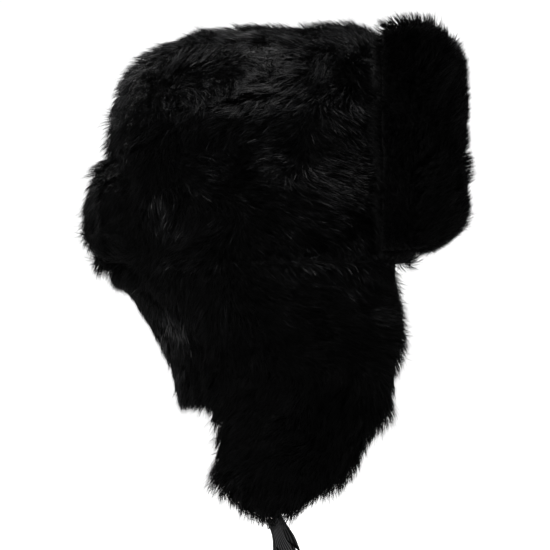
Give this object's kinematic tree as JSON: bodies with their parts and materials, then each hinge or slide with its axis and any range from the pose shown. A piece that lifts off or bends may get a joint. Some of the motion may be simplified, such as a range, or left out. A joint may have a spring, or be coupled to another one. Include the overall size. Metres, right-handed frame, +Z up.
{
  "type": "trapper hat",
  "caption": "Full-fur trapper hat: soft domed crown, turned-up peak flap, hanging ear and neck flaps that fold up, and ribbon ties.",
  "frame": {"origin": "centre of the head opening, in the plane of the crown's bottom edge", "axes": "+Z up through the crown; the hat faces -Y; the wearer's right side is -X"},
  "size_m": [0.208, 0.2695, 0.5012],
  "materials": {
    "fur_guard": "black rabbit pelt, long glossy guard hair over dense underfur",
    "fur_plush": "black rabbit pelt, short dense plush pile",
    "lining_satin": "black satin, diamond quilted",
    "wadding": "needled polyester wadding",
    "interlining": "stiff felted interlining",
    "sweatband": "thin black leather, satin",
    "ribbon": "black ribbed grosgrain",
    "thread": "black polyester thread"
  },
  "bodies": {
    "crown": {"crown_top_fur": "fur_guard", "crown_side_fur_left": "fur_guard", "crown_side_fur_right": "fur_guard", "crown_wadding_top": "wadding", "crown_wadding_band": "wadding", "crown_lining_top": "lining_satin", "crown_lining_band": "lining_satin", "sweatband": "sweatband"},
    "peak_flap": {"peak_flap_fur": "fur_plush", "peak_flap_interlining": "interlining", "peak_flap_backing": "fur_plush"},
    "ear_flap_right": {"ear_flap_outer_fur_right": "fur_guard", "ear_flap_interlining_right": "interlining", "ear_flap_inner_fur_right": "fur_plush", "tie_bar_tack_right": "thread"},
    "ear_flap_left": {"ear_flap_outer_fur_left": "fur_guard", "ear_flap_interlining_left": "interlining", "ear_flap_inner_fur_left": "fur_plush", "tie_bar_tack_left": "thread"},
    "neck_flap": {"neck_flap_outer_fur": "fur_guard", "neck_flap_interlining": "interlining", "neck_flap_inner_fur": "fur_plush"},
    "neck_gusset_right": {"neck_gusset_outer_fur_right": "fur_guard", "neck_gusset_interlining_right": "interlining", "neck_gusset_inner_fur_right": "fur_plush"},
    "neck_gusset_left": {"neck_gusset_outer_fur_left": "fur_guard", "neck_gusset_interlining_left": "interlining", "neck_gusset_inner_fur_left": "fur_plush"},
    "tie_right": {"tie_ribbon_right": "ribbon"},
    "tie_left": {"tie_ribbon_left": "ribbon"}
  },
  "joints": [
    {"name": "peak_flap_fold", "type": "hinge", "parent": "crown", "child": "peak_flap", "pos_m": [0, -0.117, 0.0006], "axis": [1, 0, 0], "range_deg": [0, 110]},
    {"name": "ear_flap_right_fold", "type": "hinge", "parent": "crown", "child": "ear_flap_right", "pos_m": [-0.1046, 0, 0], "axis": [0, 1, 0], "range_deg": [0, 160]},
    {"name": "ear_flap_left_fold", "type": "hinge", "parent": "crown", "child": "ear_flap_left", "pos_m": [0.1046, 0, 0], "axis": [0, -1, 0], "range_deg": [0, 160]},
    {"name": "neck_flap_fold", "type": "hinge", "parent": "crown", "child": "neck_flap", "pos_m": [0, 0.1184, 0], "axis": [1, 0, 0], "range_deg": [0, 160]},
    {"name": "neck_gusset_right_fold", "type": "hinge", "parent": "crown", "child": "neck_gusset_right", "pos_m": [-0.0793, 0.0748, 0], "axis": [0.5816, 0.8135, 0], "range_deg": [0, 160]},
    {"name": "neck_gusset_left_fold", "type": "hinge", "parent": "crown", "child": "neck_gusset_left", "pos_m": [0.0793, 0.0748, 0], "axis": [0.5816, -0.8135, 0], "range_deg": [0, 160]},
    {"name": "tie_right_swing", "type": "hinge", "parent": "ear_flap_right", "child": "tie_right", "pos_m": [-0.084, -0.009, -0.1834], "axis": [0, 1, 0], "range_deg": [-30, 60]},
    {"name": "tie_left_swing", "type": "hinge", "parent": "ear_flap_left", "child": "tie_left", "pos_m": [0.084, -0.009, -0.1834], "axis": [0, -1, 0], "range_deg": [-30, 60]}
  ],
  "couplings": [
    {"joint": "neck_gusset_right_fold", "follows": "neck_flap_fold", "ratio": 1},
    {"joint": "neck_gusset_left_fold", "follows": "neck_flap_fold", "ratio": 1}
  ]
}
